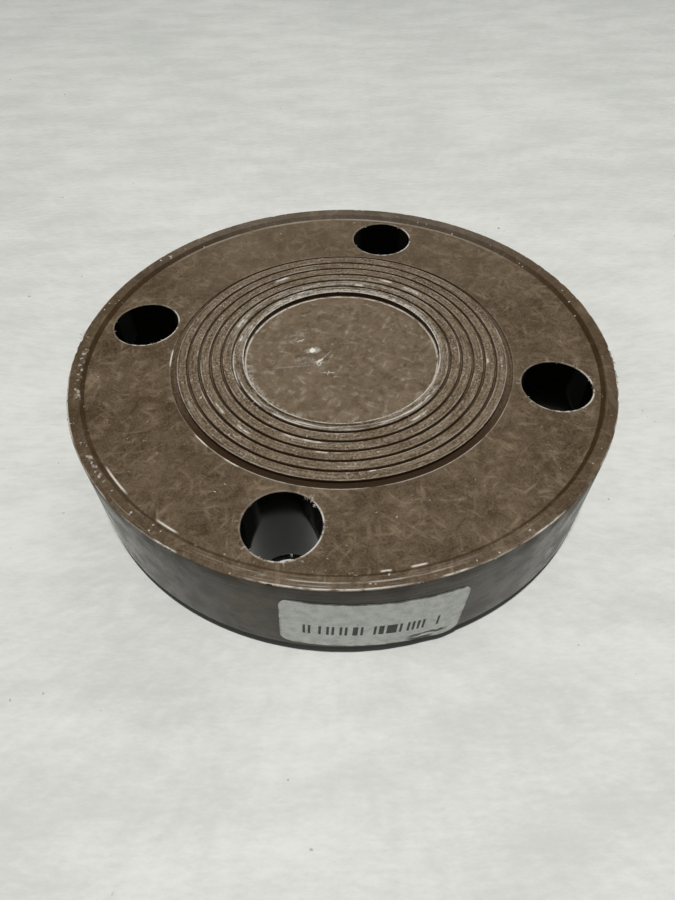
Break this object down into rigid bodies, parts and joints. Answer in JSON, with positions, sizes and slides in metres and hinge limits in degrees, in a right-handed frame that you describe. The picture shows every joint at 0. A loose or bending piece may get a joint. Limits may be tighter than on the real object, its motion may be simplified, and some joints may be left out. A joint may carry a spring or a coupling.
{
  "type": "blind flange",
  "caption": "Round moulded blind flange with a serrated gasket ring, a shallow central recess, drilled bolt holes and a label on its side wall",
  "frame": {"origin": "centre of the flat foot of the back boss, on the surface that the flange rests on", "axes": "+Z is the flange's axis and points out of the gasket face; the bolt holes straddle the X and Y axes"},
  "size_m": [0.1524, 0.1524, 0.0329],
  "materials": {
    "moulded_resin": "brown glass-fibre reinforced resin, mottled with flow marks and pale fibre chips, machined on the face and glossy on the side wall",
    "label_film": "grey satin label film with printed bars and worn edges"
  },
  "bodies": {
    "root": {"flange_disc": "moulded_resin", "label": "label_film"}
  },
  "joints": []
}
